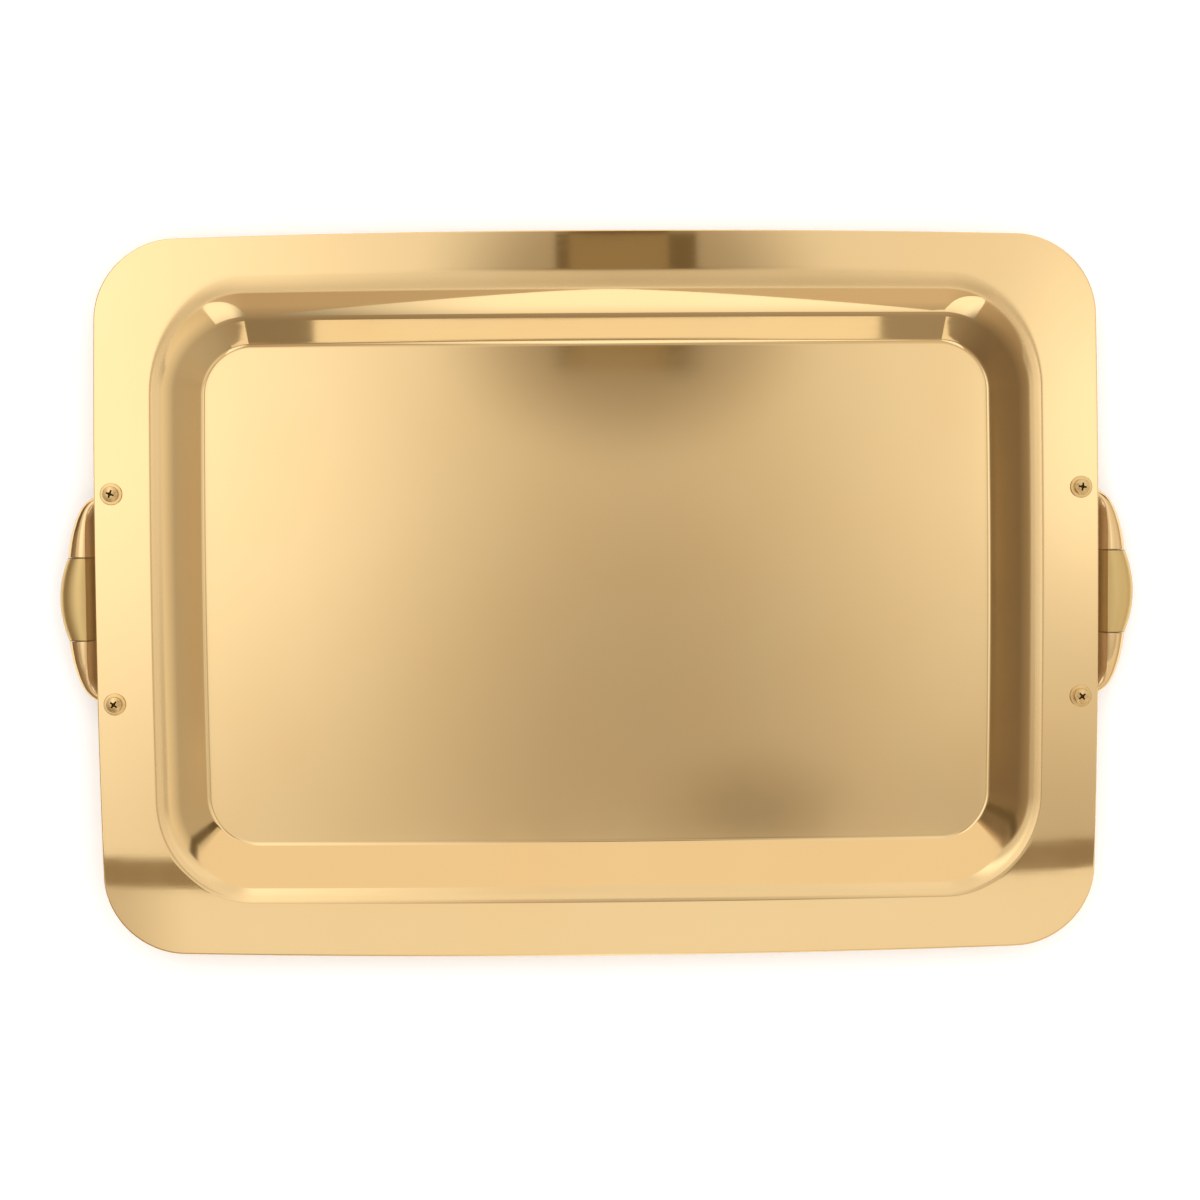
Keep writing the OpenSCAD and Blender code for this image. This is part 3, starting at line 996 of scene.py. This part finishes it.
class TRAY_OT_grips(TrayOperator, Operator):
    """Make the two satin grips"""

    bl_idname = "tray.grips"
    bl_label = "Grips"

    def execute(self, context):
        sizes = context.scene.tray_handle
        satin = gold_casting("satin_brass_casting", sizes.grip_colour, 0.3, 0.4, 2600.0, 0.006 * MM)
        for end in ENDS:
            make_grip(end, sizes, satin)
        return {"FINISHED"}


class TRAY_OT_arms(TrayOperator, Operator):
    """Make the four polished arms with their bosses"""

    bl_idname = "tray.arms"
    bl_label = "Arms"

    def execute(self, context):
        sizes = context.scene.tray_handle
        polished = gold_casting("polished_brass_casting", sizes.arm_colour, 0.1, 0.18, 1500.0, 0.001 * MM)
        for end in ENDS:
            for side in SIDES:
                make_arm(end, side, sizes, polished)
        return {"FINISHED"}


class TRAY_OT_fasteners(TrayOperator, Operator):
    """Make the four screws and their washers"""

    bl_idname = "tray.fasteners"
    bl_label = "Screws and washers"

    def execute(self, context):
        sizes = context.scene.tray_fastener
        plated = plated_steel(sizes)
        # Each screw was tightened to its own angle.
        turns = {"left_rear": 20, "left_front": 38, "right_rear": 8, "right_front": 52}
        for corner, turn in turns.items():
            end, side = corner.split("_")
            make_screw(end, side, sizes, plated, math.radians(turn))
            make_washer(end, side, plated)
        return {"FINISHED"}


class TRAY_OT_rods(TrayOperator, Operator):
    """Give the two tie rods inside the handles their finish"""

    bl_idname = "tray.rods"
    bl_label = "Tie rods"

    def execute(self, context):
        steel = turned_steel()
        for end in ENDS:
            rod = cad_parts[f"{end}_tie_rod"]
            for each in rod.material_slots:
                each.material = steel
        return {"FINISHED"}


class TRAY_OT_stage(TrayOperator, Operator):
    """Make the table, the lights and the camera"""

    bl_idname = "tray.stage"
    bl_label = "Stage"

    def execute(self, context):
        scene = context.scene
        sizes = scene.tray_stage
        at, turn = camera_place()
        height = sizes.ceiling

        def mirrored(x, y):
            """The place on the ceiling that the camera sees mirrored in the level tray at x, y mm."""
            point = Vector((x * MM, y * MM))
            return point + (point - at.xy) * (height / at.z)

        table = 4.0
        top = [(-table, -table, 0), (table, -table, 0), (table, table, 0), (-table, table, 0)]
        card("table_top", top, pale_table(), seen=True)
        wide, rear, front = 1.7, 1.6, -0.485
        outline = (-wide, rear), (wide, rear), (wide, front), (-wide, front)
        light = soft_ceiling(sizes.light, mirrored, height)
        card("ceiling_light", [(x, y, height) for x, y in outline], light)
        below = height - 5 * MM

        def flag(name, x0, y0, x1, y1, colour_value, strength, lower=0.0):
            low, high = mirrored(x0, y0), mirrored(x1, y1)
            corners = [(low.x, high.y), (high.x, high.y), (high.x, low.y), (low.x, low.y)]
            card(name, [(x, y, below - lower) for x, y in corners], glow(name, colour_value, strength))

        flag("left_beam", -680, -131, -176, -118, "#F0DCC0", 0.38)
        flag("right_beam", 180, -127, 680, -114, "#F0DCC0", 0.35)
        flag("rear_frame", -18, 103.6, 46, 158, "#F0D8B0", 0.2)
        flag("rear_screen", -12, 103.6, 33, 158, "#F0D8B0", 0.36, 2 * MM)
        flag("rear_bar", -12, 158, 33, 180, "#806040", 0.03, 2 * MM)

        # The front reflector: an arch that slopes down from the front edge of the ceiling light.
        part = np.linspace(-1, 1, 41)
        arch_x = 0.03 + 0.46 * part
        drop = np.abs(part) ** 1.35
        arch = np.stack([arch_x, front - 0.02 - 1.2 * drop, height - (height - 0.55) * drop], -1)
        card("front_reflector", arch.tolist(), arched_light(height))
        away, low, high = -2.1, 0.02, 0.25
        skirt = [(-0.40, away, low), (0.45, away, low), (0.45, away, high), (-0.40, away, high)]
        card("front_skirt", skirt, glow("front_skirt_light", "#FFF8EC", 1.02))

        wall = [(-2.2, 2.0, 0.0), (2.2, 2.0, 0.0), (2.2, 2.0, 1.9), (-2.2, 2.0, 1.9)]
        card("rear_light", wall, glow("rear_wall_light", "#FFF6EC", 0.95))

        # A dark post leans in each rear corner of the studio, 2.2 m from the opposite front corner of
        # the tray. Its four corners are given by their bearings from there, in degrees.
        away, corner_x, corner_y = 2.2, 0.19, -0.11
        for end, bearings in {"right": (24, 33, 44, 34), "left": (8, 17, 33, 22)}.items():
            bearing = np.radians(bearings)
            x = ENDS[end] * (away * np.cos(bearing) - corner_x)
            y = away * np.sin(bearing) + corner_y
            corners = np.stack([x, y, (0.02, 0.02, 1.38, 1.38)], -1)
            card(f"{end}_rear_post", corners.tolist(), glow("rear_post_shade", "#E8D0A8", 0.16))

        # A broad light for the matt table alone: it stays pale and the metal keeps its contrast.
        broad = linked("table_light", bpy.data.lights.new("table_light", "AREA"))
        broad.data.size, broad.data.energy = 3.0, 22.0
        broad.location = (0, 0, height - 0.1)
        broad.visible_glossy = False

        camera = linked("camera", bpy.data.cameras.new("camera"))
        camera.data.lens, camera.data.sensor_width = 60.0, 36.0
        camera.data.clip_start, camera.data.clip_end = 0.01, 20
        camera.matrix_world = Matrix.Translation(at) @ turn.to_4x4()
        scene.camera = camera

        scene.world = studio_air()
        scene.view_settings.view_transform = "Standard"
        return {"FINISHED"}


class TRAY_PT_tray(Panel):
    """The tray's sizes and the buttons that make its pieces"""

    bl_label = "Serving tray"
    bl_space_type = "VIEW_3D"
    bl_region_type = "UI"
    bl_category = "Tray"

    def draw(self, context):
        for name, settings in SETTINGS.items():
            box = self.layout.box()
            for key in settings.__annotations__:
                box.prop(getattr(context.scene, name), key)
        for operator in OPERATORS:
            self.layout.operator(operator.bl_idname)


SETTINGS = {
    "tray_sheet": TraySheetSettings,
    "tray_handle": TrayHandleSettings,
    "tray_fastener": TrayFastenerSettings,
    "tray_stage": TrayStageSettings,
}
OPERATORS = (TRAY_OT_sheet, TRAY_OT_arms, TRAY_OT_grips, TRAY_OT_rods, TRAY_OT_fasteners, TRAY_OT_stage)


def register():
    for each in (*SETTINGS.values(), *OPERATORS, TRAY_PT_tray):
        bpy.utils.register_class(each)
    for name, settings in SETTINGS.items():
        setattr(bpy.types.Scene, name, PointerProperty(type=settings))


def unregister():
    for name in SETTINGS:
        delattr(bpy.types.Scene, name)
    for each in (TRAY_PT_tray, *reversed(OPERATORS), *reversed(list(SETTINGS.values()))):
        bpy.utils.unregister_class(each)


def main():
    """Makes every piece in order."""
    register()
    bpy.ops.tray.sheet()
    bpy.ops.tray.arms()
    bpy.ops.tray.grips()
    bpy.ops.tray.rods()
    bpy.ops.tray.fasteners()
    bpy.ops.tray.stage()
    bpy.context.view_layer.update()


if __name__ == "__main__":
    main()
